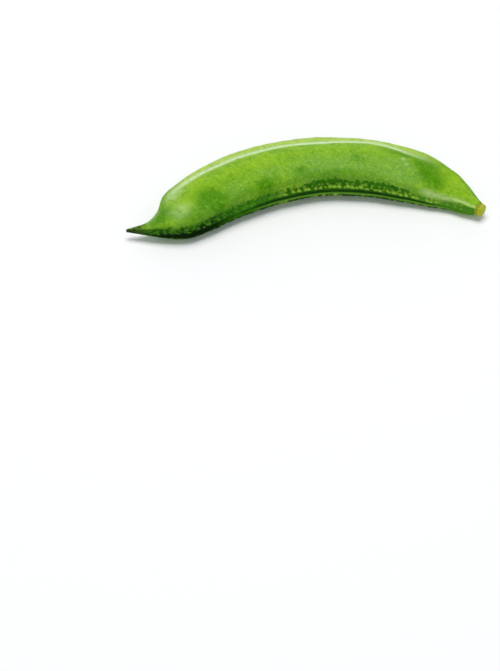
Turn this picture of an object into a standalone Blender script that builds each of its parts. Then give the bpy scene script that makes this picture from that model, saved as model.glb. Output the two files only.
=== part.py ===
"""A hyacinth bean pod, lying flat on one side as picked.

The pod is one grown piece: two flat valves that meet in a back seam on the outside of the curve and
a warty belly seam on the inside, with a hooked beak at one end. The stub of its stalk is a piece of
its own at the other end. Lengths are in millimetres up to the point where a vertex is placed.
+X runs to the stalk end, +Y to the back of the curve, and the pod rests on z = 0.
"""
import math
import random
from collections import namedtuple

import bmesh
import bpy
from mathutils import Vector

MM = 0.001

# The frame's origin, on the floor under the middle of the finished pod, seen from the spine's own.
ORIGIN_X = -0.36
ORIGIN_Y = 7.30

# The pod in plan and in height, from the stalk to the tip of the beak: where its middle line runs,
# half its breadth from seam to seam, half its thickness, and how high that middle line lies.
Station = namedtuple("Station", "x y breadth thickness height")
STATIONS = (
    Station(50.8, -5.75, 2.3, 2.2, 3.2),
    Station(48.0, -2.95, 3.6, 2.8, 3.3),
    Station(45.2, 0.2, 5.2, 3.2, 3.5),
    Station(41.4, 3.65, 7.2, 3.8, 3.9),
    Station(33.0, 8.8, 9.3, 4.7, 4.9),
    Station(20.5, 13.0, 9.9, 5.5, 5.7),
    Station(6.0, 14.85, 10.15, 5.7, 5.9),
    Station(-9.4, 12.65, 10.55, 5.7, 5.9),
    Station(-23.0, 7.35, 10.15, 5.5, 5.7),
    Station(-34.3, 0.0, 9.05, 5.0, 5.2),
    Station(-39.3, -3.7, 7.5, 4.4, 4.9),
    Station(-43.4, -5.7, 4.3, 3.3, 4.4),
    Station(-47.8, -6.6, 1.9, 1.9, 3.8),
    Station(-54.1, -6.3, 0.4, 0.5, 3.3),
)

# Half a slice across the pod, from the back seam (0) to the belly seam (1): how far out it is, as a
# share of the half breadth, and how high, as a share of the half thickness. A low ridge runs along
# the back at 0.27, a shoulder over the warty belly band at 0.80, and a ledge beside its seam at 0.962.
Slice = namedtuple("Slice", "turn across rise")
SLICES = (
    Slice(0.00, 0.955, 0.00),
    Slice(0.06, 1.00, 0.18),
    Slice(0.12, 0.985, 0.36),
    Slice(0.18, 0.93, 0.50),
    Slice(0.27, 0.57, 0.79),
    Slice(0.36, 0.35, 0.90),
    Slice(0.50, 0.05, 1.00),
    Slice(0.62, -0.35, 1.00),
    Slice(0.74, -0.72, 0.91),
    Slice(0.80, -0.87, 0.77),
    Slice(0.85, -0.91, 0.60),
    Slice(0.90, -0.92, 0.44),
    Slice(0.935, -0.94, 0.35),
    Slice(0.962, -1.00, 0.26),
    Slice(0.984, -0.98, 0.10),
    Slice(1.00, -0.92, 0.00),
)
# Over these shares of the length the slice turns into a plain oval, towards the stalk and the tip.
STALK_OVAL = (0.0, 0.035)
BEAK_OVAL = (0.88, 0.97)
# The belly seam hangs a little below the middle of the pod, between these turns round it, and more
# so before the beak, over these shares of the length.
BELLY_SAG = 1.3
BELLY_SAG_TURNS = (0.82, 0.94)
BEAK_SAG = 0.8
BEAK_SAG_START = (0.55, 0.82)

# Where the seeds swell both faces and where the faces sink: the place along the pod as a share of
# its length, the place across, the height, and the reach along and across.
Swelling = namedtuple("Swelling", "share across height length breadth")
SWELLINGS = (
    Swelling(0.20, -0.10, 0.35, 6.0, 5.0),
    Swelling(0.35, -0.15, 0.30, 6.5, 5.5),
    Swelling(0.50, -0.10, 0.35, 6.5, 5.5),
    Swelling(0.65, -0.15, 0.30, 6.5, 5.5),
    Swelling(0.79, 0.00, 0.40, 6.0, 5.0),
    Swelling(0.115, 0.30, -0.45, 5.0, 3.0),
    Swelling(0.72, -0.55, -0.35, 6.0, 3.0),
)

# The mesh: bands along the pod, and columns round it, half of them on each face.
BANDS = 110
COLUMNS = 40

# Warts stand on every second vertex of these columns, counted from the back seam to the belly seam.
WART_HEIGHTS = {1: 0.12, 2: 0.10, 15: 0.15, 16: 0.25, 17: 0.32, 18: 0.32, 19: 0.32}
WART_SPREAD = 0.35
# How tall the warts are along the pod: low at the stalk, tallest before the beak.
WART_GROWTH = ((0.0, 0.0), (0.06, 0.25), (0.20, 0.8), (0.5, 1.0), (0.8, 1.25), (0.93, 0.7), (1.0, 0.0))
WART_SEED = 11

# The stalk stub: a short round end, waisted behind the scar where it was picked.
STUB_GAP = 0.3
STUB_SIDES = 24
STUB_PROFILE = ((0.0, 1.85), (0.25, 2.00), (0.7, 1.96), (1.1, 2.02), (1.4, 1.97), (1.55, 1.65))
SCAR_RIM = 0.4
SCAR_DEPTH = 0.25

POD_GREEN = (0.153, 0.330, 0.045, 1.0)
STUB_TAN = (0.330, 0.345, 0.060, 1.0)


def clear_scene():
    for obj in list(bpy.data.objects):
        bpy.data.objects.remove(obj, do_unlink=True)


def smooth_step(low, high, value):
    share = min(max((value - low) / (high - low), 0.0), 1.0)
    return share * share * (3.0 - 2.0 * share)


def curve_through(places, rows, place):
    """A smooth curve through the rows, read at one place: each value runs on with its neighbours' slope."""
    last = len(places) - 1
    left = 0
    while left < last - 1 and places[left + 1] <= place:
        left += 1

    def slope(index, value):
        before = max(index - 1, 0)
        after = min(index + 1, last)
        return (rows[after][value] - rows[before][value]) / (places[after] - places[before])

    step = places[left + 1] - places[left]
    s = (place - places[left]) / step
    result = []
    for value in range(len(rows[0])):
        start = rows[left][value] * (2 * s ** 3 - 3 * s ** 2 + 1)
        end = rows[left + 1][value] * (3 * s ** 2 - 2 * s ** 3)
        leave = slope(left, value) * step * (s ** 3 - 2 * s ** 2 + s)
        arrive = slope(left + 1, value) * step * (s ** 3 - s ** 2)
        result.append(start + end + leave + arrive)
    return result


def station_shares():
    """Where each station lies along the middle line, from 0 at the stalk to 1 at the tip, and its length."""
    lengths = [0.0]
    for before, after in zip(STATIONS, STATIONS[1:]):
        lengths.append(lengths[-1] + math.hypot(after.x - before.x, after.y - before.y))
    return [length / lengths[-1] for length in lengths], lengths[-1]


SHARES, POD_LENGTH = station_shares()
THICKEST = max(station.thickness for station in STATIONS)
TURNS = [row.turn for row in SLICES]


def station_at(share):
    return Station(*curve_through(SHARES, STATIONS, share))


def back_direction(share):
    """The level direction from the middle line out to the back seam."""
    step = 0.002
    before = station_at(max(share - step, 0.0))
    after = station_at(min(share + step, 1.0))
    along = Vector((after.x - before.x, after.y - before.y)).normalized()
    return Vector((along.y, -along.x))


def slice_at(share, turn):
    """Across and rise at one turn round the pod, oval at both ends of it."""
    _, across, rise = curve_through(TURNS, SLICES, turn)
    oval = 1.0 - smooth_step(*STALK_OVAL, share) + smooth_step(*BEAK_OVAL, share)
    across += (math.cos(math.pi * turn) - across) * oval
    rise += (math.sin(math.pi * turn) - rise) * oval
    return across, rise


def swelling_at(share, across, station):
    height = 0.0
    for swelling in SWELLINGS:
        along = (share - swelling.share) * POD_LENGTH / swelling.length
        aside = (across - swelling.across) * station.breadth / swelling.breadth
        height += swelling.height * math.exp(-along * along - aside * aside)
    return height


def pod_point(share, turn, face):
    """A point of the pod's skin: face is 1 on top and -1 underneath, which lies flat on the floor."""
    station = station_at(share)
    back = back_direction(share)
    across, rise = slice_at(share, turn)
    rise = rise * station.thickness + swelling_at(share, across, station) * min(rise, 1.0)
    x = station.x + back.x * across * station.breadth - ORIGIN_X
    y = station.y + back.y * across * station.breadth - ORIGIN_Y
    sag = BELLY_SAG + BEAK_SAG * smooth_step(*BEAK_SAG_START, share)
    sag *= smooth_step(*BELLY_SAG_TURNS, turn) * station.thickness / THICKEST
    z = max(station.height + face * rise - sag, 0.0)
    return Vector((x, y, z)) * MM


def wart_heights():
    """The height of the wart on each band and column of the mesh, in a seeded chequer."""
    draw = random.Random(WART_SEED)
    places = [row[0] for row in WART_GROWTH]
    heights = {}
    for band in range(1, BANDS):
        growth = curve_through(places, WART_GROWTH, band / BANDS)[1]
        for column in range(COLUMNS):
            from_back = min(column, COLUMNS - column)
            tall = draw.uniform(1.0 - WART_SPREAD, 1.0 + WART_SPREAD)
            if (band + column) % 2 == 0:
                heights[band, column] = WART_HEIGHTS.get(from_back, 0.0) * growth * tall
    return heights


def material(name, color, roughness):
    finish = bpy.data.materials.new(name)
    finish.use_nodes = True
    shader = finish.node_tree.nodes["Principled BSDF"]
    shader.inputs["Base Color"].default_value = color
    shader.inputs["Roughness"].default_value = roughness
    shader.inputs["Metallic"].default_value = 0.0
    return finish


def face_outward(bm):
    bmesh.ops.recalc_face_normals(bm, faces=bm.faces)
    if bm.calc_volume(signed=True) < 0.0:
        bmesh.ops.reverse_faces(bm, faces=bm.faces)
    bm.normal_update()


def add_object(name, mesh_maker, finish, collection):
    mesh = bpy.data.meshes.new(name)
    bm = bmesh.new()
    mesh_maker(bm)
    bmesh.ops.triangulate(bm, faces=bm.faces)
    face_outward(bm)
    bm.to_mesh(mesh)
    bm.free()
    mesh.shade_smooth()
    mesh.materials.append(finish)
    obj = bpy.data.objects.new(name, mesh)
    collection.objects.link(obj)
    return obj


def upright_tube(bm, sides, bands):
    """A plain closed cylinder, one unit high, cut into bands."""
    bmesh.ops.create_cone(bm, cap_ends=True, segments=sides, radius1=1.0, radius2=1.0, depth=1.0)
    uprights = [edge for edge in bm.edges if abs(edge.verts[0].co.z - edge.verts[1].co.z) > 0.5]
    bmesh.ops.subdivide_edges(bm, edges=uprights, cuts=bands - 1, use_grid_fill=True)


def band_of(vertex, bands):
    return round((vertex.co.z + 0.5) * bands)


def column_of(vertex, sides):
    return round(math.atan2(vertex.co.x, vertex.co.y) / math.tau * sides) % sides


def make_pod(bm):
    """The cylinder's vertices move onto the pod's skin, and the warts are raised from it."""
    upright_tube(bm, COLUMNS, BANDS)
    places = {}
    for vertex in bm.verts:
        places[vertex] = band_of(vertex, BANDS), column_of(vertex, COLUMNS)
    for vertex, (band, column) in places.items():
        face = 1.0 if column <= COLUMNS / 2 else -1.0
        turn = min(column, COLUMNS - column) / (COLUMNS / 2)
        vertex.co = pod_point(band / BANDS, turn, face)
    face_outward(bm)
    warts = wart_heights()
    for vertex, place in places.items():
        raised = vertex.co + vertex.normal * warts.get(place, 0.0) * MM
        raised.z = max(raised.z, 0.0)
        vertex.co = raised


def make_stub(bm):
    """The stalk stub, on the pod's end face and in line with the middle line there."""
    bands = len(STUB_PROFILE) - 1
    upright_tube(bm, STUB_SIDES, bands)
    end = station_at(0.0)
    back = back_direction(0.0)
    side = Vector((back.x, back.y, 0.0))
    up = Vector((0.0, 0.0, 1.0))
    outward = side.cross(up)
    start = Vector((end.x - ORIGIN_X, end.y - ORIGIN_Y, end.height)) + outward * STUB_GAP
    for vertex in bm.verts:
        length, radius = STUB_PROFILE[band_of(vertex, bands)]
        angle = math.atan2(vertex.co.x, vertex.co.y)
        rim = side * math.cos(angle) * radius + up * math.sin(angle) * radius
        vertex.co = (start + outward * length + rim) * MM
    sink_scar(bm, outward)


def sink_scar(bm, outward):
    """The picked end is dished: its flat face is drawn in and pushed back."""
    face_outward(bm)
    scar = max(bm.faces, key=lambda face: face.calc_center_median().dot(outward))
    bmesh.ops.inset_region(bm, faces=[scar], thickness=SCAR_RIM * MM, depth=-SCAR_DEPTH * MM)


def build():
    clear_scene()
    collection = bpy.data.collections.new("hyacinth_bean")
    bpy.context.scene.collection.children.link(collection)
    add_object("pod", make_pod, material("pod_skin", POD_GREEN, 0.45), collection)
    add_object("stalk_stub", make_stub, material("stalk_fibre", STUB_TAN, 0.7), collection)


build()
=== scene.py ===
"""The looks of a fresh green hyacinth bean pod, lying on a white floor in soft light from above.

The pod's skin and the stalk stub are modelled finely here, in the place of the plain solids of the
frame. The pod's lengths are in millimetres up to the point where a vertex is placed. The floor, the
camera's place and the lights are in metres.
"""
import itertools
import math
from collections import namedtuple

import bmesh
import bpy
import numpy as np
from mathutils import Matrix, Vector, noise


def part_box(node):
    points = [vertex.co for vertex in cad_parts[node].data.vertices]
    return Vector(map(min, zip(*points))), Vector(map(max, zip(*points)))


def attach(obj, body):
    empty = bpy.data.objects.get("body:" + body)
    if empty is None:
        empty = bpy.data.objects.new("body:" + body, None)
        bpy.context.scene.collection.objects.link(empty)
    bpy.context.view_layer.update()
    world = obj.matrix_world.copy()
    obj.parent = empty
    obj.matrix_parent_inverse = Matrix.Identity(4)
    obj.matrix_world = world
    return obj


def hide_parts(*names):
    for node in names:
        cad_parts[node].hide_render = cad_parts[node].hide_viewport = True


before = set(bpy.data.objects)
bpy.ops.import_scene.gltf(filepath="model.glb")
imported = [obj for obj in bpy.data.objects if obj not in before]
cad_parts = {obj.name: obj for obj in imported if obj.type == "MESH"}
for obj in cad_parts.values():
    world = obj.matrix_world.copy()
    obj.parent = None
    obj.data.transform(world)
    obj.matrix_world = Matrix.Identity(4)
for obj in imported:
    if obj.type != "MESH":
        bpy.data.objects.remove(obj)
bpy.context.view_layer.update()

MM = 0.001

# The frame's origin, seen from the spine's own.
ORIGIN_X = -0.36
ORIGIN_Y = 7.30

# The pod in plan and in height, from the stalk to the tip of the beak: where its middle line runs,
# half its breadth from seam to seam, half its thickness, and how high that middle line lies.
Station = namedtuple("Station", "x y breadth thickness height")
STATIONS = (
    Station(50.8, -5.75, 2.3, 2.2, 3.2),
    Station(48.0, -2.95, 3.6, 2.8, 3.3),
    Station(45.2, 0.2, 5.2, 3.2, 3.5),
    Station(41.4, 3.65, 7.2, 3.8, 3.9),
    Station(33.0, 8.8, 9.3, 4.7, 4.9),
    Station(20.5, 13.0, 9.9, 5.5, 5.7),
    Station(6.0, 14.85, 10.15, 5.7, 5.9),
    Station(-9.4, 12.65, 10.55, 5.7, 5.9),
    Station(-23.0, 7.35, 10.15, 5.5, 5.7),
    Station(-34.3, 0.0, 9.05, 5.0, 5.2),
    Station(-39.3, -3.7, 7.5, 4.4, 4.9),
    Station(-43.4, -5.7, 4.3, 3.3, 4.4),
    Station(-47.8, -6.6, 1.9, 1.9, 3.8),
    Station(-54.1, -6.3, 0.4, 0.5, 3.3),
)
THICKEST = max(station.thickness for station in STATIONS)

# Half a slice across the pod, from the back seam (0) to the belly seam (1): how far out it is, as a
# share of the half breadth, and how high, as a share of the half thickness.
Slice = namedtuple("Slice", "turn across rise")
SLICES = (
    Slice(0.00, 0.955, 0.00),
    Slice(0.06, 1.00, 0.18),
    Slice(0.12, 0.985, 0.36),
    Slice(0.18, 0.93, 0.50),
    Slice(0.27, 0.57, 0.79),
    Slice(0.36, 0.35, 0.90),
    Slice(0.50, 0.05, 1.00),
    Slice(0.62, -0.35, 1.00),
    Slice(0.74, -0.72, 0.91),
    Slice(0.80, -0.87, 0.77),
    Slice(0.85, -0.91, 0.60),
    Slice(0.90, -0.92, 0.44),
    Slice(0.935, -0.94, 0.35),
    Slice(0.962, -1.00, 0.26),
    Slice(0.984, -0.98, 0.10),
    Slice(1.00, -0.92, 0.00),
)
# At both ends the slice turns into an oval, between these shares of the length.
STALK_OVAL = (0.0, 0.035)
BEAK_OVAL = (0.88, 0.97)
# How far the belly's edge hangs down where the pod is thickest, and the turns between which it starts.
BELLY_SAG = 2.0
BELLY_SAG_TURNS = (0.82, 0.94)

# A spot on both faces: its place along the pod as a share of its length, its place across, how
# strong it is, and its reach along and across.
Spot = namedtuple("Spot", "share across strength length breadth")
SWELLINGS = (
    Spot(0.20, -0.10, 0.35, 6.0, 5.0),
    Spot(0.35, -0.15, 0.30, 6.5, 5.5),
    Spot(0.50, -0.10, 0.35, 6.5, 5.5),
    Spot(0.65, -0.15, 0.30, 6.5, 5.5),
    Spot(0.79, 0.00, 0.40, 6.0, 5.0),
    Spot(0.115, 0.30, -0.45, 5.0, 3.0),
    Spot(0.72, -0.55, -0.35, 6.0, 3.0),
)

# The skin's mesh: bands along the pod and columns all the way round it, which stand closer together
# at the ridge and over the belly: around which turn, how far from it, and how much closer.
BANDS = 600
COLUMNS = 160
CROWDED_TURNS = ((0.30, 0.06, 1.5), (0.93, 0.08, 4.0))
TURN_SAMPLES = 2001
# Vertices nearer to each other than this, in metres, are one.
SKIN_WELD = 1e-7
STUB_WELD = 2e-5

# The ridge along the back: its turn round the pod at some shares of the length, its width as a turn,
# and its height. A stretch is four shares of the length: what it holds fades in between the first
# two, and out between the last two.
RIDGE = (
    (0.0, 0.32), (0.20, 0.315), (0.25, 0.280), (0.31, 0.242), (0.37, 0.280), (0.45, 0.313),
    (0.55, 0.291), (0.64, 0.277), (0.72, 0.262), (0.80, 0.237), (1.0, 0.237),
)
RIDGE_WIDTH = 0.03
RIDGE_HEIGHT = 0.18
RIDGE_STRETCH = (0.14, 0.24, 0.78, 0.86)

# The grooves of the belly seam and of the back seam.
GROOVE_WIDTH = 0.010
GROOVE_DEPTH = 0.10
BACK_SEAM_DEPTH = 0.12
GROOVE_STRETCH = (0.02, 0.12, 0.84, 0.92)

# The soft unevenness of the skin: the size of its waves and their height.
UNDULATIONS = ((9.0, 0.16), (3.2, 0.07), (1.3, 0.04))
UNDULATION_SHIFT = Vector((7.3, 0.0, 4.1))
UNDULATION_START = Vector((0.0, 1.9, 0.0))

# The shoulder at the stalk end, which also carries a painted highlight: its turn round the pod at some
# shares of the length, how wide and high it stands, and where along the pod it has gone.
SHOULDER = (
    (0.0, 0.715), (0.033, 0.765), (0.057, 0.812), (0.085, 0.842), (0.12, 0.840), (0.16, 0.83),
)
SHOULDER_WIDTH = 0.05
SHOULDER_HEIGHT = 0.28
SHOULDER_END = (0.125, 0.165)

# The turn at which the face gives way to the dark belly, at some shares of the length, how soft that
# edge is, and how much softer it gets towards the beak.
BELLY_EDGE = (
    (0.0, 0.80), (0.03, 0.84), (0.085, 0.895), (0.14, 0.90), (0.21, 0.88), (0.27, 0.865),
    (0.357, 0.885), (0.42, 0.856), (0.514, 0.892), (0.58, 0.905), (0.65, 0.902), (0.71, 0.90),
    (0.75, 0.895), (0.81, 0.890), (0.866, 0.887), (0.902, 0.878), (0.942, 0.84), (1.0, 0.72),
)
BELLY_EDGE_SOFTNESS = 0.035
BELLY_EDGE_SOFTER = 2.5
BELLY_EDGE_SOFTER_START = (0.84, 0.94)

# The warts: patches of them, each between two turns round the pod, in so many rows over a stretch
# of the pod, with the pitch along a row, half the length, half the width and the height of one wart,
# and how pale it is. Past 1, more of the wart is fully pale.
WartPatch = namedtuple("WartPatch", "low high rows start end pitch length width height pale")
WART_PATCHES = (
    WartPatch(0.935, 0.972, 1, 0.09, 0.62, 2.3, 0.85, 0.55, 0.45, 1.3),
    WartPatch(0.900, 0.960, 2, 0.12, 0.62, 2.2, 0.60, 0.42, 0.30, 0.8),
    WartPatch(0.880, 0.972, 5, 0.56, 0.96, 2.0, 0.80, 0.42, 0.40, 1.1),
    WartPatch(0.820, 0.872, 2, 0.64, 0.96, 2.4, 0.50, 0.34, 0.18, 0.3),
    WartPatch(0.500, 0.820, 6, 0.87, 0.99, 1.4, 0.34, 0.26, 0.12, 0.4),
    WartPatch(0.850, 0.950, 3, 0.03, 0.14, 2.2, 0.55, 0.36, 0.18, 0.6),
    WartPatch(0.000, 0.070, 2, 0.12, 0.92, 2.2, 0.55, 0.30, 0.12, 0.0),
)
WART_SEED = 11
# How unevenly they stand: how far one strays along its row, as a share of the pitch, where it lies
# across its row, its size and height against its patch's, and how it is turned.
WART_STRAY = 0.35
WART_ROW_PLACES = (0.2, 0.8)
WART_SIZES = (0.7, 1.25)
WART_HEIGHTS = (0.5, 1.15)
WART_TILTS = (math.radians(-10.0), math.radians(50.0))
# The reach of a wart over the skin's mesh: columns to each side, and bands past its own length.
WART_COLUMNS = 9
WART_SPARE_BANDS = 2

# Where the skin's colour departs from its usual green, on the same terms as the swellings.
# Sage patches: partly the skin's own greyer green, partly a painted sheen.
SAGE_SPOTS = (
    Spot(0.800, -0.75, 1.0, 4.0, 3.2),
    Spot(0.715, -0.75, 0.9, 4.5, 3.0),
    Spot(0.600, -0.45, 0.7, 4.5, 3.0),
    Spot(0.470, -0.62, 1.0, 8.0, 4.5),
    Spot(0.360, -0.55, 1.0, 9.0, 4.6),
    Spot(0.215, -0.50, 1.3, 9.0, 5.0),
    Spot(0.925, 0.20, 0.9, 2.6, 2.4),
    Spot(0.275, -0.35, 0.5, 4.0, 3.5),
)
# The sage patches end sharply towards the stalk, along this bent line.
SAGE_EDGE = 0.150
SAGE_EDGE_BEND = 0.05
SAGE_EDGE_MIDDLE = -0.35
SAGE_EDGE_SOFTNESS = 0.006
# Deeper green spots: the skin's own mottling, but those along the far edge of the back are painted shade
# where the skin turns away from the light.
DEEP_SPOTS = (
    Spot(0.135, 0.10, 1.4, 4.0, 4.6),
    Spot(0.122, -0.55, 0.4, 4.0, 2.4),
    Spot(0.778, -0.48, 1.3, 2.8, 4.4),
    Spot(0.795, -0.60, 0.8, 5.0, 3.0),
    Spot(0.720, -0.85, 0.4, 5.0, 2.0),
    Spot(0.621, -0.82, 0.9, 3.0, 1.8),
    Spot(0.650, -0.80, 0.4, 5.0, 1.5),
    Spot(0.905, 0.10, 1.0, 3.6, 3.6),
    Spot(0.507, -0.66, 0.9, 2.2, 1.0),
    Spot(0.335, -0.40, 0.5, 3.0, 1.5),
    Spot(0.350, -0.28, 0.5, 1.2, 0.7),
    Spot(0.400, -0.84, 0.6, 16.0, 1.1),
    Spot(0.240, 0.28, 0.5, 5.0, 1.4),
    Spot(0.165, 0.10, 0.9, 3.5, 3.5),
    Spot(0.245, 0.25, 0.5, 6.0, 2.0),
    Spot(0.060, 0.98, 1.0, 8.0, 1.5),
    Spot(0.740, 0.75, 0.5, 4.0, 1.5),
    Spot(0.830, 0.92, 0.6, 5.0, 1.5),
    Spot(0.853, -0.72, 0.8, 3.0, 2.4),
)
LIME_SPOTS = (
    Spot(0.760, 0.15, 0.8, 5.0, 3.4),
    Spot(0.640, 0.00, 0.6, 6.0, 4.0),
    Spot(0.290, 0.20, 0.4, 9.0, 2.6),
    Spot(0.850, -0.10, 0.8, 3.2, 3.4),
    Spot(0.075, 0.45, 0.9, 7.0, 3.4),
    Spot(0.590, 0.00, 0.5, 4.0, 3.0),
    Spot(0.405, -0.25, 0.4, 4.0, 2.5),
    Spot(0.290, -0.30, 0.4, 4.0, 2.5),
    Spot(0.100, 0.10, 0.4, 3.0, 2.0),
    Spot(0.117, 0.60, 0.8, 3.0, 2.0),
)
# Painted highlights: small whitish glints of light on the skin, on the same terms as the swellings.
GLINT_SPOTS = (
    Spot(0.868, -0.32, 0.65, 2.8, 2.4),
    Spot(0.842, 0.52, 0.9, 3.5, 2.0),
    Spot(0.226, 0.06, 0.8, 0.7, 0.9),
    Spot(0.214, -0.14, 0.6, 0.6, 0.7),
    Spot(0.195, 0.50, 0.45, 4.5, 1.2),
    Spot(0.923, 0.90, 0.6, 2.5, 2.0),
)

# Where the skin's lines and bands of colour, of painted highlight and of painted shade lie: the turns
# that bound them, or their middle turn and their width, and the stretch of the pod that they run over.
# Two numbers are where a tint starts and where it is full.
# The back band is paler: partly its own yellower green, partly a painted sheen of the light from behind.
BACK_TURNS = (0.24, 0.31)
BACK_STRETCH = (0.10, 0.26, 0.75, 0.85)
# A broad painted sheen just above the ridge: how far above the ridge it lies, and its width.
SHEEN_ABOVE_RIDGE = 0.01
SHEEN_WIDTH = 0.07
# The pale line along the ridge, partly its own paler tissue and partly a painted highlight: its width and
# its stretch.
RIDGE_HIGHLIGHT_WIDTH = 0.026
RIDGE_HIGHLIGHT_STRETCH = (0.16, 0.27, 0.78, 0.88)
# The ridge's pale line, partly a painted highlight, is fainter past its middle, and at one place nearer
# the stalk.
FAINTER_START = (0.50, 0.72)
FAINTER = 0.2
FAINT_PLACE = 0.305
FAINT_REACH = 0.035
FAINT = 0.3
FLANK_TURNS = (0.77, 0.83, 0.87, 0.90)
FLANK_STRETCH = (0.12, 0.20, 0.50, 0.56)
STALK_END = (0.12, 0.22)
SHADE_START = (0.72, 0.82)
# The painted shade of the under face climbs over the belly seam towards the beak.
UNDER_SHADE_TURNS = (0.78, 0.84, 0.970, 0.977)
UNDER_SHADE_STRETCH = (0.03, 0.10, 0.98, 0.995)
SHADE_CLIMB_TURNS = (0.915, 0.95)
SHADE_CLIMB_START = (0.74, 0.84)
RIM_TURN = 0.983
RIM_WIDTH = 0.005
RIM_STRETCH = (0.03, 0.10, 0.60, 0.70)
# The dark line along the belly seam, partly painted shade in its groove.
SEAM_TURNS_ABOVE = (0.966, 0.980)
SEAM_TURNS_BELOW = (0.986, 0.992)
SEAM_STRETCH = (0.06, 0.14, 0.62, 0.74)
BEAK_START = (0.93, 0.97)
TIP_START = (0.945, 0.99)
# Towards the beak the warts are duller, most of all on the under face.
DULL_WARTS_START = (0.54, 0.64)
WARTS_UNDERNEATH = 0.3

# The camera looks at this point of the floor, from this side, height and distance, through a lens of
# this focal length in millimetres.
AIM = Vector((-0.02083, -0.05645, 0.0))
AZIMUTH = math.radians(-5.0)
ELEVATION = math.radians(46.0)
DISTANCE = 0.5795
LENS = 110.0


def linear(hex_color):
    """An sRGB hex colour as linear red, green, blue and alpha."""
    result = []
    for start in (1, 3, 5):
        value = int(hex_color[start:start + 2], 16) / 255.0
        result.append(value / 12.92 if value <= 0.04045 else ((value + 0.055) / 1.055) ** 2.4)
    return (*result, 1.0)


def smooth_step(low, high, value):
    """0 up to low and 1 from high on, with a soft start and end between them."""
    share = np.clip((value - low) / (high - low), 0.0, 1.0)
    return share * share * (3.0 - 2.0 * share)


def bump_at(value, centre, width):
    """1 at the centre, falling softly to 0 on both sides."""
    return np.exp(-((value - centre) / width) ** 2)


def curve_through(places, rows, at):
    """A smooth curve through the rows, read at many places, running on with the neighbours' slope."""
    places = np.asarray(places, float)
    rows = np.asarray(rows, float)
    slopes = np.zeros_like(rows)
    slopes[1:-1] = (rows[2:] - rows[:-2]) / (places[2:] - places[:-2])[:, None]
    slopes[0] = (rows[1] - rows[0]) / (places[1] - places[0])
    slopes[-1] = (rows[-1] - rows[-2]) / (places[-1] - places[-2])
    left = np.clip(np.searchsorted(places, at, side="right") - 1, 0, len(places) - 2)
    step = (places[left + 1] - places[left])[:, None]
    s = (at - places[left])[:, None] / step
    start = rows[left] * (2 * s ** 3 - 3 * s ** 2 + 1)
    end = rows[left + 1] * (3 * s ** 2 - 2 * s ** 3)
    leave = slopes[left] * step * (s ** 3 - 2 * s ** 2 + s)
    arrive = slopes[left + 1] * step * (s ** 3 - s ** 2)
    return start + end + leave + arrive


def station_shares():
    """Where each station lies on the middle line, from 0 at the stalk to 1 at the tip, and its length."""
    plan = np.array([(station.x, station.y) for station in STATIONS])
    steps = np.linalg.norm(np.diff(plan, axis=0), axis=1)
    lengths = np.concatenate(([0.0], np.cumsum(steps)))
    return lengths / lengths[-1], lengths[-1]


SHARES, POD_LENGTH = station_shares()


def spots_at(spots, share, across, breadth):
    """The strength of all the spots together at every place."""
    total = np.zeros(across.shape)
    for spot in spots:
        along = (share - spot.share) * POD_LENGTH / spot.length
        aside = (across - spot.across) * breadth / spot.breadth
        total += spot.strength * np.exp(-along ** 2 - aside ** 2)
    return total


def column_turns():
    """The turn round the pod at each column of one face, from the back seam to the belly seam."""
    fine = np.linspace(0.0, 1.0, TURN_SAMPLES)
    density = np.ones_like(fine)
    for turn, reach, strength in CROWDED_TURNS:
        density += strength * bump_at(fine, turn, reach)
    columns = np.cumsum(density) - density[0]
    return np.interp(np.linspace(0.0, 1.0, COLUMNS // 2 + 1), columns / columns[-1], fine)


class Skin:
    """The pod's skin over a grid: bands run along axis 0, and turns round the pod along axis 1."""

    def __init__(self):
        turns = column_turns()
        self.share = np.linspace(0.0, 1.0, BANDS + 1)[:, None]
        self.signed_turn = np.concatenate([-turns[:0:-1], turns])[None, :]
        self.face = np.where(self.signed_turn >= 0.0, 1.0, -1.0)
        self.turn = np.abs(self.signed_turn)
        rows = curve_through(SHARES, STATIONS, self.share[:, 0])
        self.x, self.y, self.breadth, self.thickness, self.height = (rows[:, [k]] for k in range(5))
        along = np.gradient(rows[:, :2], axis=0)
        along /= np.linalg.norm(along, axis=1)[:, None]
        self.back_x = along[:, [1]]
        self.back_y = -along[:, [0]]
        self.place_points()

    def place_points(self):
        """Where every vertex lies, from the spine, the slice and the swellings, before the relief."""
        section = curve_through([row.turn for row in SLICES], SLICES, self.turn[0])
        oval = 1.0 - smooth_step(*STALK_OVAL, self.share) + smooth_step(*BEAK_OVAL, self.share)
        self.across = section[:, 1] + (np.cos(np.pi * self.turn) - section[:, 1]) * oval
        rise = section[:, 2] + (np.sin(np.pi * self.turn) - section[:, 2]) * oval
        swell = spots_at(SWELLINGS, self.share, self.across, self.breadth)
        rise = rise * self.thickness
        rise = rise + swell * np.minimum(rise, 1.0)
        sag = BELLY_SAG * smooth_step(*BELLY_SAG_TURNS, self.turn) * self.thickness / THICKEST
        out = self.across * self.breadth
        x = self.x + self.back_x * out - ORIGIN_X
        y = self.y + self.back_y * out - ORIGIN_Y
        z = self.height + self.face * rise - sag
        self.points = np.stack([x, y, z], axis=-1)

    def normals(self):
        """Outward directions: along the pod, then round it, then across both."""
        along = np.gradient(self.points, axis=0)
        wrapped = np.concatenate([self.points[:, -2:-1], self.points, self.points[:, 1:2]], axis=1)
        around = wrapped[:, 2:] - wrapped[:, :-2]
        out = np.cross(around, along)
        return out / np.linalg.norm(out, axis=-1, keepdims=True)

    def raise_by(self, heights):
        """Moves the skin outwards and brings its two edges together along the belly seam."""
        points = self.points + self.normals() * heights[..., None]
        seam = (points[:, 0] + points[:, -1]) / 2.0
        points[:, 0] = seam
        points[:, -1] = seam
        self.points = points


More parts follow.
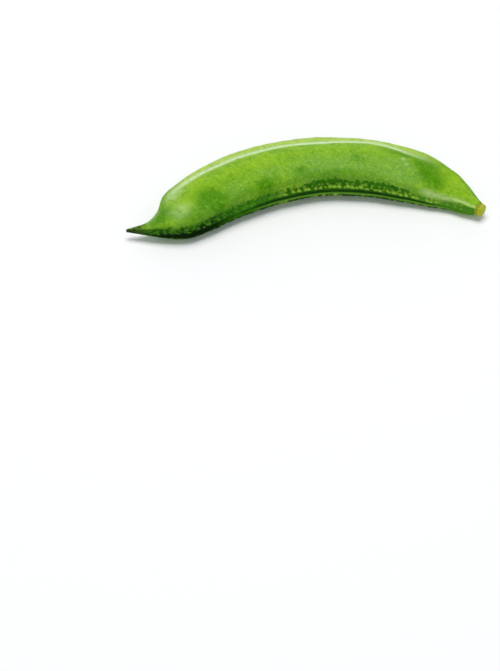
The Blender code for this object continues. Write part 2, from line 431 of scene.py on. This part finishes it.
def undulations(skin):
    """Soft unevenness of a grown skin, in a few sizes."""
    result = np.zeros(skin.points.shape[:2])
    for number, (size, height) in enumerate(UNDULATIONS):
        shift = UNDULATION_START + UNDULATION_SHIFT * number
        for index in np.ndindex(result.shape):
            place = Vector(skin.points[index]) / size + shift
            result[index] += noise.noise(place) * height
    return result


def between(low, start, stop, high, value):
    """1 between start and stop, fading to 0 at low and at high."""
    return smooth_step(low, start, value) * (1.0 - smooth_step(stop, high, value))


def turns_along(rows, skin):
    """A line over the skin: its turn at every band, from its turns at some shares of the length."""
    return curve_through([row[0] for row in rows], rows, skin.share[:, 0])[:, [1]]


def shoulder(skin):
    """The narrow shoulder between face and belly at the stalk end."""
    line = bump_at(skin.turn, turns_along(SHOULDER, skin), SHOULDER_WIDTH)
    return line * (1.0 - smooth_step(*SHOULDER_END, skin.share))


def seam_relief(skin):
    """The ridge along the back, the shoulder, the groove of the belly seam and the back seam's line."""
    ridge = RIDGE_HEIGHT * bump_at(skin.turn, turns_along(RIDGE, skin), RIDGE_WIDTH)
    ridge *= between(*RIDGE_STRETCH, skin.share)
    stretch = between(*GROOVE_STRETCH, skin.share)
    groove = -GROOVE_DEPTH * bump_at(skin.turn, 1.0, GROOVE_WIDTH) * stretch
    back = -BACK_SEAM_DEPTH * bump_at(skin.turn, 0.0, GROOVE_WIDTH) * stretch
    return ridge + groove + back + SHOULDER_HEIGHT * shoulder(skin)


def wart_places(draw):
    """Each wart's share, signed turn and patch, its size and height against the patch's, and its tilt.

    Every other row is set back by half a pitch.
    """
    for patch in WART_PATCHES:
        row_width = (patch.high - patch.low) / patch.rows
        count = int((patch.end - patch.start) * POD_LENGTH / patch.pitch)
        for row, face, number in itertools.product(range(patch.rows), (-1.0, 1.0), range(count)):
            pitches = number + row / 2.0 % 1.0 + draw.uniform(-WART_STRAY, WART_STRAY)
            share = patch.start + pitches * patch.pitch / POD_LENGTH
            turn = patch.low + (row + draw.uniform(*WART_ROW_PLACES)) * row_width
            size = draw.uniform(*WART_SIZES)
            tall = draw.uniform(*WART_HEIGHTS)
            tilt = draw.uniform(*WART_TILTS)
            yield share, face * turn, patch, size, tall, tilt


def wart_field(skin):
    """How far the warts raise the skin, and how pale they make it, from 0 to 1."""
    raised = np.zeros(skin.points.shape[:2])
    mask = np.zeros_like(raised)
    along = np.gradient(skin.points, axis=0)
    along /= np.linalg.norm(along, axis=-1, keepdims=True)
    around = np.cross(skin.normals(), along) * skin.face[..., None]
    for share, turn, patch, size, tall, tilt in wart_places(np.random.default_rng(WART_SEED)):
        band = min(round(share * BANDS), BANDS)
        column = int(np.abs(skin.signed_turn[0] - turn).argmin())
        reach = int(patch.length * size / POD_LENGTH * BANDS) + WART_SPARE_BANDS
        near_bands = slice(max(band - reach, 0), band + reach + 1)
        near_columns = slice(max(column - WART_COLUMNS, 0), column + WART_COLUMNS + 1)
        window = near_bands, near_columns
        gap = skin.points[window] - skin.points[band, column]
        length = gap @ (along[band, column] * math.cos(tilt) + around[band, column] * math.sin(tilt))
        aside = np.maximum((gap ** 2).sum(axis=-1) - length ** 2, 0.0)
        far = length ** 2 / (patch.length * size) ** 2 + aside / (patch.width * size) ** 2
        dome = np.clip(1.0 - far, 0.0, 1.0)
        raised[window] = np.maximum(raised[window], patch.height * tall * dome)
        mask[window] = np.maximum(mask[window], patch.pale * tall * dome)
    return raised, mask


def skin_with_relief():
    """The skin with all its relief, kept inside the box of the frame's solid, and its pale warts."""
    skin = Skin()
    raised, mask = wart_field(skin)
    skin.raise_by(undulations(skin) + seam_relief(skin) + raised)
    low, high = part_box("pod")
    skin.points = np.clip(skin.points, np.array(low) / MM, np.array(high) / MM)
    return skin, mask


def sage_tone_and_sheen(skin):
    """The sage spots, partly the skin's greyer green and partly painted sheen, cut off along their bent
    edge.
    """
    edge = SAGE_EDGE + SAGE_EDGE_BEND * (skin.across - SAGE_EDGE_MIDDLE) ** 2
    past_edge = smooth_step(-SAGE_EDGE_SOFTNESS, SAGE_EDGE_SOFTNESS, skin.share - edge)
    return spots_at(SAGE_SPOTS, skin.share, skin.across, skin.breadth) * past_edge


def belly(skin):
    """The dark belly, beyond an edge that gets softer towards the beak."""
    softer = 1.0 + BELLY_EDGE_SOFTER * smooth_step(*BELLY_EDGE_SOFTER_START, skin.share)
    past_edge = skin.turn - turns_along(BELLY_EDGE, skin)
    return smooth_step(-1.0, 1.0, past_edge / (BELLY_EDGE_SOFTNESS * softer))


def under_face_shade(skin):
    """Painted shade on the under face, and its climb over the seam towards the beak."""
    under = np.where(skin.face < 0.0, between(*UNDER_SHADE_TURNS, skin.turn), 0.0)
    climb = smooth_step(*SHADE_CLIMB_TURNS, skin.turn) * smooth_step(*SHADE_CLIMB_START, skin.share)
    return np.maximum(under, climb) * between(*UNDER_SHADE_STRETCH, skin.share)


def seam_line(skin):
    """The dark line between the rows of warts above and the pale rim below, partly painted shade in the
    seam's groove.
    """
    above = smooth_step(*SEAM_TURNS_ABOVE, skin.turn)
    below = smooth_step(*SEAM_TURNS_BELOW, skin.turn)
    return np.where(skin.face < 0.0, below, above) * between(*SEAM_STRETCH, skin.share)


def skin_fields(skin, warts):
    """How strongly each tint of the skin shows at each place, from 0 to 1, for the skin's material."""
    share, turn = skin.share, skin.turn
    place = share, skin.across, skin.breadth
    ridge = turns_along(RIDGE, skin)
    faint = FAINTER * smooth_step(*FAINTER_START, share)
    faint = faint + FAINT * bump_at(share, FAINT_PLACE, FAINT_REACH)
    ridge_highlights = between(*RIDGE_HIGHLIGHT_STRETCH, share) * (1.0 - faint)
    rim = np.where(skin.face < 0.0, bump_at(turn, RIM_TURN, RIM_WIDTH), 0.0)
    dull = smooth_step(*DULL_WARTS_START, share)
    fields = {
        # Sage patches, partly painted sheen.
        "sage": sage_tone_and_sheen(skin),
        # Deeper green, with painted shade along the back's far edge.
        "deep": spots_at(DEEP_SPOTS, *place),
        "lime": spots_at(LIME_SPOTS, *place),
        # Painted highlights: whitish glints.
        "bloom": spots_at(GLINT_SPOTS, *place),
        # Paler back band, partly a painted sheen.
        "back": (1.0 - smooth_step(*BACK_TURNS, turn)) * between(*BACK_STRETCH, share),
        # A painted sheen just above the ridge.
        "glow": bump_at(turn, ridge - SHEEN_ABOVE_RIDGE, SHEEN_WIDTH) * ridge_highlights,
        # The ridge's pale line, partly a painted highlight.
        "ridge": bump_at(turn, ridge, RIDGE_HIGHLIGHT_WIDTH) * ridge_highlights,
        "flank": between(*FLANK_TURNS, turn) * between(*FLANK_STRETCH, share),
        "belly": belly(skin),
        "end_belly": belly(skin) * (1.0 - smooth_step(*STALK_END, share)),
        "shade": belly(skin) * smooth_step(*SHADE_START, share),
        # Painted shade of the under face.
        "under": under_face_shade(skin),
        # Painted highlight along the shoulder at the stalk end.
        "shoulder": shoulder(skin),
        "rim": rim * between(*RIM_STRETCH, share),
        "beak": smooth_step(*BEAK_START, share),
        "tip": smooth_step(*TIP_START, share),
        "wart": warts * (1.0 - dull),
        "dull_wart": warts * dull * np.where(skin.face < 0.0, WARTS_UNDERNEATH, 1.0),
        # The seam's dark line, partly painted shade in its groove.
        "seam": seam_line(skin),
    }
    shape = skin.across.shape
    return {name: np.clip(np.broadcast_to(field, shape), 0.0, 1.0) for name, field in fields.items()}


def give_values(mesh, name, values):
    """Stores one number for each vertex, which the skin's material reads by its name."""
    attribute = mesh.attributes.new(name, "FLOAT", "POINT")
    attribute.data.foreach_set("value", values.astype(np.float32))


def face_outward(bm):
    """Turns the faces outwards, also where the first try leaves the closed shell inside out."""
    bmesh.ops.recalc_face_normals(bm, faces=bm.faces)
    if bm.calc_volume(signed=True) < 0.0:
        bmesh.ops.reverse_faces(bm, faces=bm.faces)


def make_pod():
    """A flat grid wrapped round into the skin, then closed along the belly seam and at both ends."""
    bm = bmesh.new()
    bmesh.ops.create_grid(bm, x_segments=BANDS, y_segments=COLUMNS, size=1.0)
    mesh = bpy.data.meshes.new("pod_skin")
    bm.to_mesh(mesh)
    bm.free()
    flat = np.empty(len(mesh.vertices) * 3, np.float32)
    mesh.vertices.foreach_get("co", flat)
    flat = flat.reshape(-1, 3)
    bands = np.rint((flat[:, 0] + 1.0) / 2.0 * BANDS).astype(int)
    columns = np.rint((flat[:, 1] + 1.0) / 2.0 * COLUMNS).astype(int)

    skin, warts = skin_with_relief()
    points = skin.points[bands, columns] * MM
    mesh.vertices.foreach_set("co", points.astype(np.float32).ravel())
    for name, field in skin_fields(skin, warts).items():
        give_values(mesh, name, field[bands, columns])

    bm = bmesh.new()
    bm.from_mesh(mesh)
    bmesh.ops.remove_doubles(bm, verts=bm.verts, dist=SKIN_WELD)
    ends = bmesh.ops.holes_fill(bm, edges=[edge for edge in bm.edges if edge.is_boundary], sides=0)
    bmesh.ops.poke(bm, faces=ends["faces"])
    face_outward(bm)
    bm.to_mesh(mesh)
    bm.free()
    mesh.shade_smooth()
    return add_piece("pod_skin", mesh, pod_skin_material(), "pod")


# The stalk stub: how far along its axis each place is, and its radius there.
STUB_RINGS = 40
STUB_SIDES = 96
STUB_PROFILE = (
    (-0.25, 1.85), (0.25, 1.94), (0.7, 1.90), (1.1, 1.95), (1.3, 1.93), (1.45, 1.78), (1.53, 1.5),
)
STUB_GAP = 0.3
# Its ribs: how many, how high, how much of that is even, and how quickly the rest changes round the
# stub and from ring to ring.
STUB_RIBS = 11
STUB_RIB_HEIGHT = 0.07
RIB_EVENNESS = 0.5
RIB_CHANGE_ROUND = 2.0
RIB_CHANGE_ALONG = 0.12
# The scar at its far end: its depth, how much steeper than a plain dish its wall is, the radius that
# is left at its middle, how rough it is, and how quickly its roughness changes.
SCAR_RINGS = 14
SCAR_DEPTH = 0.25
SCAR_STEEPNESS = 1.6
SCAR_MIDDLE = 0.01
SCAR_ROUGHNESS = 0.06
SCAR_CHANGE = 3.0
# Where the brown line runs round it, and how far it fades.
COLLAR_PLACE = 0.35
COLLAR_REACH = 0.45


def stub_radii():
    """The places along the stub of its plain rings, and their radii."""
    places = np.linspace(STUB_PROFILE[0][0], STUB_PROFILE[-1][0], STUB_RINGS + 1)
    return places, curve_through([row[0] for row in STUB_PROFILE], STUB_PROFILE, places)[:, 1]


def rib_at(angle, ring):
    """How much the stub's fibres swell its radius."""
    rib = 1.0 + STUB_RIB_HEIGHT * math.sin(angle * STUB_RIBS) * RIB_EVENNESS
    round_x = math.cos(angle) * RIB_CHANGE_ROUND
    round_y = math.sin(angle) * RIB_CHANGE_ROUND
    return rib + STUB_RIB_HEIGHT * noise.noise(Vector((round_x, round_y, ring * RIB_CHANGE_ALONG)))


def scar_at(angle, inward, radius, place):
    """The radius and place of a point on the dished scar, from its edge at 0 to its middle at 1."""
    radius = radius * (1.0 - inward) + SCAR_MIDDLE * inward
    place = place - SCAR_DEPTH * math.sin(min(inward * SCAR_STEEPNESS, 1.0) * math.pi / 2.0)
    grain_place = Vector((math.cos(angle), math.sin(angle), 0.0)) * radius * SCAR_CHANGE
    return radius, place + SCAR_ROUGHNESS * noise.noise(grain_place)


def make_stub():
    """A tube in line with the pod's end, ribbed by its fibres, with a dished scar at its far end."""
    bm = bmesh.new()
    bmesh.ops.create_grid(bm, x_segments=STUB_SIDES, y_segments=STUB_RINGS + SCAR_RINGS, size=1.0)
    skin = Skin()
    start = Vector((STATIONS[0].x - ORIGIN_X, STATIONS[0].y - ORIGIN_Y, STATIONS[0].height))
    side = Vector((skin.back_x[0, 0], skin.back_y[0, 0], 0.0))
    up = Vector((0.0, 0.0, 1.0))
    outward = side.cross(up)
    places, radii = stub_radii()
    scar = bm.verts.layers.float.new("scar")
    collar = bm.verts.layers.float.new("collar")
    for vertex in bm.verts:
        angle = (vertex.co.x + 1.0) * math.pi
        ring = round((vertex.co.y + 1.0) / 2.0 * (STUB_RINGS + SCAR_RINGS))
        plain_ring = min(ring, STUB_RINGS)
        place = places[plain_ring]
        radius = radii[plain_ring] * rib_at(angle, ring)
        if ring > STUB_RINGS:
            inward = (ring - STUB_RINGS) / SCAR_RINGS
            radius, place = scar_at(angle, inward, radius, place)
        rim = side * math.cos(angle) * radius + up * math.sin(angle) * radius
        vertex.co = (start + outward * (STUB_GAP + place) + rim) * MM
        vertex[scar] = float(ring > STUB_RINGS)
        vertex[collar] = max(1.0 - abs(place - COLLAR_PLACE) / COLLAR_REACH, 0.0)
    bmesh.ops.remove_doubles(bm, verts=bm.verts, dist=STUB_WELD)
    ends = bmesh.ops.holes_fill(bm, edges=[edge for edge in bm.edges if edge.is_boundary], sides=0)
    bmesh.ops.poke(bm, faces=ends["faces"])
    face_outward(bm)
    mesh = bpy.data.meshes.new("stalk_stub_fibre")
    bm.to_mesh(mesh)
    bm.free()
    mesh.shade_smooth()
    return add_piece("stalk_stub_fibre", mesh, stalk_material(), "stalk_stub")


def add_piece(name, mesh, finish, node):
    """Puts a mesh into the scene in its finish, in the place of a node of the frame."""
    mesh.materials.append(finish)
    piece = bpy.data.objects.new(name, mesh)
    bpy.context.scene.collection.objects.link(piece)
    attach(piece, "root")
    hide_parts(node)
    return piece


def new_material(name):
    """A material and its main shader."""
    finish = bpy.data.materials.new(name)
    finish.use_nodes = True
    return finish, finish.node_tree.nodes["Principled BSDF"]


def add_node(finish, kind, settings=(), **links):
    """Adds a node, sets its settings and inputs, and links what is a socket. in_0 is its first input."""
    tree = finish.node_tree
    node = tree.nodes.new(kind)
    for key, value in dict(settings).items():
        setattr(node, key, value)
    for key, value in links.items():
        number = key.startswith("in_")
        socket = node.inputs[int(key[3:])] if number else node.inputs[key.replace("_", " ")]
        if isinstance(value, bpy.types.NodeSocket):
            tree.links.new(value, socket)
        else:
            socket.default_value = value
    return node


def grain(finish, size_mm, detail, stretch=1.0, heading=0.0):
    """Noise whose blotches are about this many millimetres wide, drawn out along a heading."""
    place = add_node(finish, "ShaderNodeTexCoord").outputs["Object"]
    turned = add_node(finish, "ShaderNodeMapping", {"vector_type": "TEXTURE"}, Vector=place,
                      Rotation=(0.0, 0.0, heading), Scale=(stretch, 1.0, 1.0)).outputs[0]
    scale = 1.0 / (size_mm * MM)
    noise_node = add_node(finish, "ShaderNodeTexNoise", Vector=turned, Scale=scale, Detail=detail)
    return noise_node.outputs["Fac"]


# Patches of grain: the width of its blotches in millimetres, its detail, the levels of it at which a
# patch starts and is full, how strong they are off a patch and on it, and how the grain is drawn out.
PLAIN = (0.0, 1.0, 1.0, 0.0)
Patches = namedtuple("Patches", "size detail start full off on stretch heading", defaults=PLAIN)
STREAKED = math.radians(-50.0)
GREENER = Patches(5.0, 4.0, 0.40, 0.60)
MOTTLED = Patches(1.6, 3.0, 0.48, 0.70, 0.0, 0.65)
BROKEN = Patches(1.8, 4.0, 0.34, 0.58, 0.45, 1.0)
RAGGED = Patches(1.1, 3.0, 0.30, 0.70, -0.4, 0.4)
PALE_FLECKS = Patches(0.6, 3.0, 0.47, 0.68, 0.0, 1.0, 1.5, STREAKED)
DARK_SPECKS = Patches(0.9, 3.0, 0.52, 0.70, 0.0, 1.0, 1.5, STREAKED)
DULL_FIBRE = Patches(0.8, 3.0, 0.3, 0.7)
TAN_FIBRE = Patches(1.6, 2.0, 0.5, 0.75)
SOFT_EDGED = {"interpolation_type": "SMOOTHSTEP"}


def patches(finish, kind):
    """How strongly patches of this kind show."""
    level = grain(finish, kind.size, kind.detail, kind.stretch, kind.heading)
    return add_node(finish, "ShaderNodeMapRange", SOFT_EDGED, Value=level, From_Min=kind.start,
                    From_Max=kind.full, To_Min=kind.off, To_Max=kind.on).outputs["Result"]


def tinted(finish, color, tint, *shares):
    """Lays a tint over a colour, as strongly as all the shares multiplied together."""
    share = shares[0]
    for other in shares[1:]:
        product = add_node(finish, "ShaderNodeMath", {"operation": "MULTIPLY"}, in_0=share, in_1=other)
        share = product.outputs[0]
    tint = linear(tint)
    mix = add_node(finish, "ShaderNodeMix", {"data_type": "RGBA"}, in_0=share, in_6=color, in_7=tint)
    return mix.outputs[2]


# The tints over the skin's green, from the lowest up: the field that each follows, its colour, how
# strong it is, and whether it is broken up like the mottling under it.
Tint = namedtuple("Tint", "field color strength patchy")
SKIN_TINTS = (
    # Sage patches, partly painted sheen.
    Tint("sage", "#70a23e", 0.95, True),
    # Deeper green, with painted shade along the back's far edge.
    Tint("deep", "#478600", 1.30, True),
    Tint("lime", "#93bf1e", 0.75, True),
    # Paler back band, partly a painted sheen.
    Tint("back", "#b0cc54", 0.85, True),
    # Painted highlights: whitish glints.
    Tint("bloom", "#b8d592", 0.85, True),
    # A painted sheen just above the ridge.
    Tint("glow", "#a8cb62", 0.45, True),
    # The ridge's pale line, partly a painted highlight.
    Tint("ridge", "#d8ebc2", 0.92, False),
    Tint("flank", "#5a961a", 0.25, False),
    Tint("belly", "#408806", 0.97, False),
    Tint("belly", "#124200", 0.62, True),
    Tint("end_belly", "#66a22c", 0.45, True),
    Tint("shade", "#082c00", 0.84, False),
    # Painted shade of the under face.
    Tint("under", "#071e00", 0.95, False),
    # Painted highlight along the shoulder at the stalk end.
    Tint("shoulder", "#b6d382", 0.90, False),
    Tint("rim", "#74aa3a", 0.85, False),
    Tint("beak", "#3a5e22", 0.85, True),
    Tint("tip", "#2c3a16", 0.90, False),
    Tint("wart", "#a4cc44", 0.95, False),
    Tint("dull_wart", "#569a26", 0.90, False),
    # The seam's dark line, partly painted shade in its groove.
    Tint("seam", "#123e05", 0.88, False),
)
RAGGED_TINTS = ("flank", "belly")
# The levels between which a ragged tint's edge lies.
RAGGED_EDGE = (0.42, 0.62)
# How strong the flecks and specks are, how far they reach into the belly, and how much of the flecks
# is left on the deep green.
FLECKS = 0.36
SPECKS = 0.30
FLECKS_END = 0.6
FLECKS_ON_DEEP = 0.4
# How strong the brown line and the paler scar of the stub are.
COLLAR_BROWN = 0.6
SCAR_PALE = 0.7


def pod_skin_material():
    """Bean pod skin: a thin waxy layer over living tissue, so a soft and nearly matt green.

    It is lime green, mottled and flecked, paler along the back and dark over the belly seam. The
    paler back carries painted sheen and highlights, and the belly painted shade.
    """
    finish, shader = new_material("bean pod skin")
    fields = {name: add_node(finish, "ShaderNodeAttribute", {"attribute_name": name}).outputs["Fac"]
              for name in sorted({tint.field for tint in SKIN_TINTS})}
    color = tinted(finish, linear("#86b41e"), "#74a61a", patches(finish, GREENER))
    color = tinted(finish, color, "#528c04", patches(finish, MOTTLED))
    broken = patches(finish, BROKEN)
    ragged = patches(finish, RAGGED)
    for tint in SKIN_TINTS:
        share = fields[tint.field]
        if tint.field in RAGGED_TINTS:
            torn = add_node(finish, "ShaderNodeMath", {"operation": "ADD"}, in_0=share, in_1=ragged)
            share = add_node(finish, "ShaderNodeMapRange", SOFT_EDGED, Value=torn.outputs[0],
                             From_Min=RAGGED_EDGE[0], From_Max=RAGGED_EDGE[1]).outputs["Result"]
        shares = (share, tint.strength, broken) if tint.patchy else (share, tint.strength)
        color = tinted(finish, color, tint.color, *shares)
    face = add_node(finish, "ShaderNodeMapRange", SOFT_EDGED, Value=fields["belly"], From_Max=FLECKS_END,
                    To_Min=1.0, To_Max=0.0).outputs["Result"]
    shallow = add_node(finish, "ShaderNodeMapRange", SOFT_EDGED, Value=fields["deep"],
                       To_Min=1.0, To_Max=FLECKS_ON_DEEP).outputs["Result"]
    color = tinted(finish, color, "#a8ce58", patches(finish, PALE_FLECKS), face, shallow, FLECKS)
    color = tinted(finish, color, "#4c8410", patches(finish, DARK_SPECKS), face, SPECKS)
    kind = PALE_FLECKS
    relief = grain(finish, kind.size, kind.detail, kind.stretch, kind.heading)
    bump = add_node(finish, "ShaderNodeBump", Height=relief, Strength=0.5, Distance=0.12 * MM)
    finish.node_tree.links.new(color, shader.inputs["Base Color"])
    finish.node_tree.links.new(bump.outputs[0], shader.inputs["Normal"])
    shader.inputs["Roughness"].default_value = 0.45
    shader.inputs["Specular IOR Level"].default_value = 0.04
    shader.inputs["Subsurface Weight"].default_value = 0.10
    shader.inputs["Subsurface Radius"].default_value = (0.5, 1.0, 0.2)
    shader.inputs["Subsurface Scale"].default_value = 0.7 * MM
    return finish


def stalk_material():
    """Cut stalk fibre: dry and rough, so matt and streaky, yellow-tan with a brown line at the pod."""
    finish, shader = new_material("cut stalk fibre")
    fields = {name: add_node(finish, "ShaderNodeAttribute", {"attribute_name": name}).outputs["Fac"]
              for name in ("collar", "scar")}
    color = tinted(finish, linear("#b2be2a"), "#949f1e", patches(finish, DULL_FIBRE))
    color = tinted(finish, color, "#b9b458", patches(finish, TAN_FIBRE))
    color = tinted(finish, color, "#665c14", fields["collar"], COLLAR_BROWN)
    color = tinted(finish, color, "#bec43c", fields["scar"], SCAR_PALE)
    relief = grain(finish, size_mm=0.35, detail=2.0)
    bump = add_node(finish, "ShaderNodeBump", Height=relief, Strength=0.5, Distance=0.08 * MM)
    finish.node_tree.links.new(color, shader.inputs["Base Color"])
    finish.node_tree.links.new(bump.outputs[0], shader.inputs["Normal"])
    shader.inputs["Roughness"].default_value = 0.7
    shader.inputs["Specular IOR Level"].default_value = 0.1
    return finish


def floor_material():
    """Matt white paper: bright and even, without reflections."""
    finish, shader = new_material("white paper sweep")
    shader.inputs["Base Color"].default_value = linear("#f9f9fa")
    shader.inputs["Roughness"].default_value = 0.9
    return finish


FLOOR_REACH = 1.5


def make_floor():
    """A wide sheet of white paper under the pod, which is not part of it."""
    bm = bmesh.new()
    bmesh.ops.create_grid(bm, x_segments=1, y_segments=1, size=FLOOR_REACH)
    mesh = bpy.data.meshes.new("floor")
    bm.to_mesh(mesh)
    bm.free()
    mesh.materials.append(floor_material())
    floor = bpy.data.objects.new("floor", mesh)
    bpy.context.scene.collection.objects.link(floor)


def make_camera():
    """The camera, looking down on the pod's belly side."""
    data = bpy.data.cameras.new("camera")
    data.lens = LENS
    data.clip_start = 0.01
    data.clip_end = 20.0
    camera = bpy.data.objects.new("camera", data)
    level = math.cos(ELEVATION)
    back = Vector((math.sin(AZIMUTH) * level, -math.cos(AZIMUTH) * level, math.sin(ELEVATION)))
    camera.location = AIM + back * DISTANCE
    camera.rotation_euler = back.to_track_quat("Z", "Y").to_euler()
    bpy.context.scene.collection.objects.link(camera)
    bpy.context.scene.camera = camera


def add_softbox(name, place, power, size, tint):
    """A round soft light that faces the frame's origin."""
    data = bpy.data.lights.new(name, "AREA")
    data.shape = "DISK"
    data.size = size
    data.energy = power
    data.color = linear(tint)[:3]
    light = bpy.data.objects.new(name, data)
    light.location = place
    light.rotation_euler = Vector(place).to_track_quat("Z", "Y").to_euler()
    bpy.context.scene.collection.objects.link(light)


def light_the_scene():
    """A strong soft light overhead, weaker ones in front and behind, and a pale bluish sky."""
    add_softbox("key", place=(-0.05, 0.12, 1.2), power=10.2, size=0.80, tint="#fffef8")
    add_softbox("front", place=(0.1, -1.3, 0.5), power=3.0, size=1.2, tint="#fbfdff")
    add_softbox("back", place=(0.0, 1.5, 0.35), power=3.0, size=1.0, tint="#fbfdff")
    world = bpy.data.worlds.new("studio")
    world.use_nodes = True
    sky = world.node_tree.nodes["Background"]
    sky.inputs["Color"].default_value = linear("#eff4ff")
    sky.inputs["Strength"].default_value = 0.42
    bpy.context.scene.world = world
    bpy.context.scene.view_settings.view_transform = "Standard"


make_pod()
make_stub()
make_floor()
make_camera()
light_the_scene()
